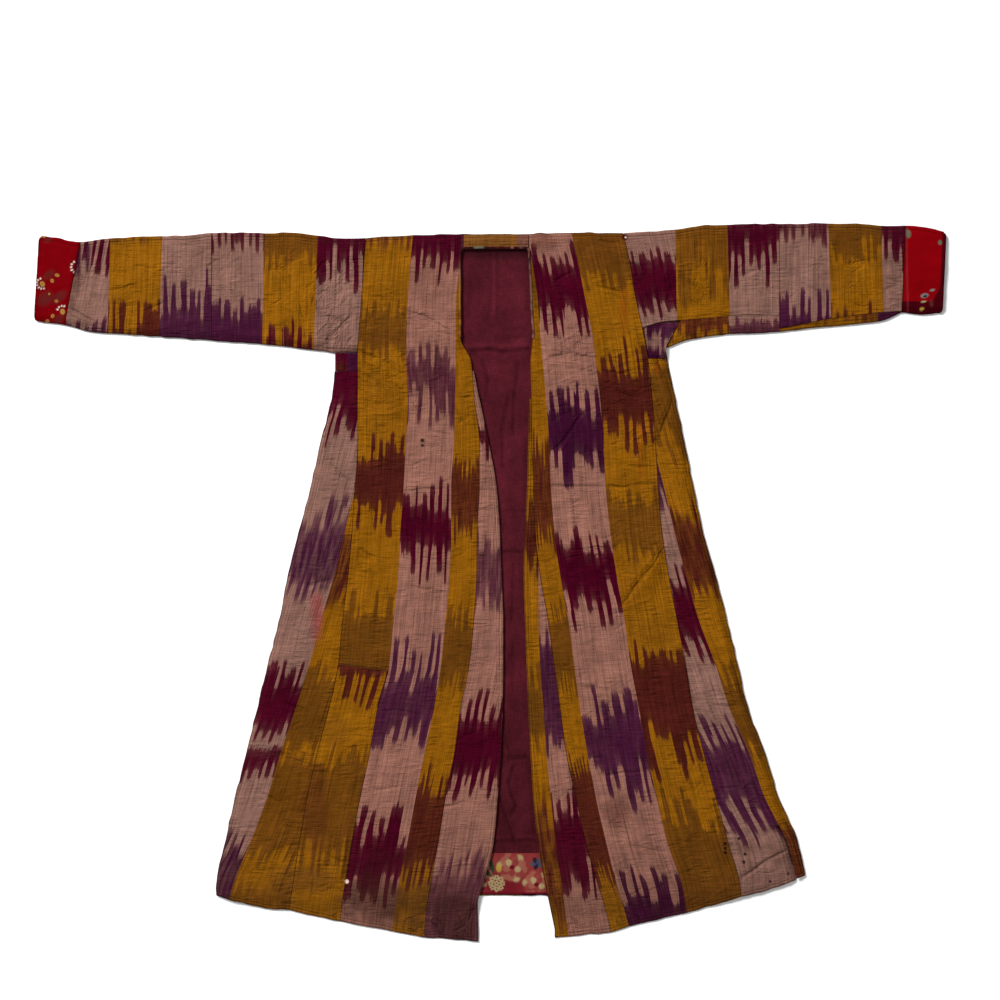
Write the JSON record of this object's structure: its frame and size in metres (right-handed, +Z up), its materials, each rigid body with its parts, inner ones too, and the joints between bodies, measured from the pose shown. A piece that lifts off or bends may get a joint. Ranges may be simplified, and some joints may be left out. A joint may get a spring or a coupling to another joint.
{
  "type": "uzbek chapan robe",
  "caption": "Long open-fronted ikat robe laid flat, with straight sleeves, flared side gores, contrast cuffs and a dark lining showing between the fronts.",
  "frame": {"origin": "on the floor under the middle of the laid-out robe's bounding box", "axes": "+X from cuff to cuff, towards the sleeve on the picture's right; +Y up the garment towards the shoulders; +Z up off the surface it lies on"},
  "size_m": [1.649, 1.298, 0.0095],
  "materials": {
    "ikat": "striped warp ikat in dusty pink, mustard, burgundy and purple, low silky sheen",
    "lining": "plain maroon cotton, matt",
    "floral_print": "printed cotton with flowers, matt",
    "red_print": "printed red cotton with small motifs, matt",
    "binding": "narrow woven edge, matt"
  },
  "bodies": {
    "root": {"back_panel": "ikat", "back_gore_left": "ikat", "back_gore_right": "ikat", "back_neck_turn": "ikat", "front_left": "ikat", "front_left_piece": "ikat", "front_right": "ikat", "front_gore_left": "ikat", "front_gore_right": "ikat", "side_gore_left": "ikat", "side_gore_left_piece": "ikat", "side_gore_right": "ikat", "side_gore_right_piece": "ikat", "sleeve_left_upper": "ikat", "sleeve_left_lower": "ikat", "sleeve_right_upper": "ikat", "sleeve_right_lower": "ikat", "sleeve_right_underarm": "ikat", "sleeve_right_underarm_end": "ikat", "gusset_left": "ikat", "gusset_right": "ikat", "lining_back": "lining", "hem_facing": "floral_print", "cuff_left": "red_print", "cuff_right": "red_print", "neck_binding": "binding"}
  },
  "joints": []
}
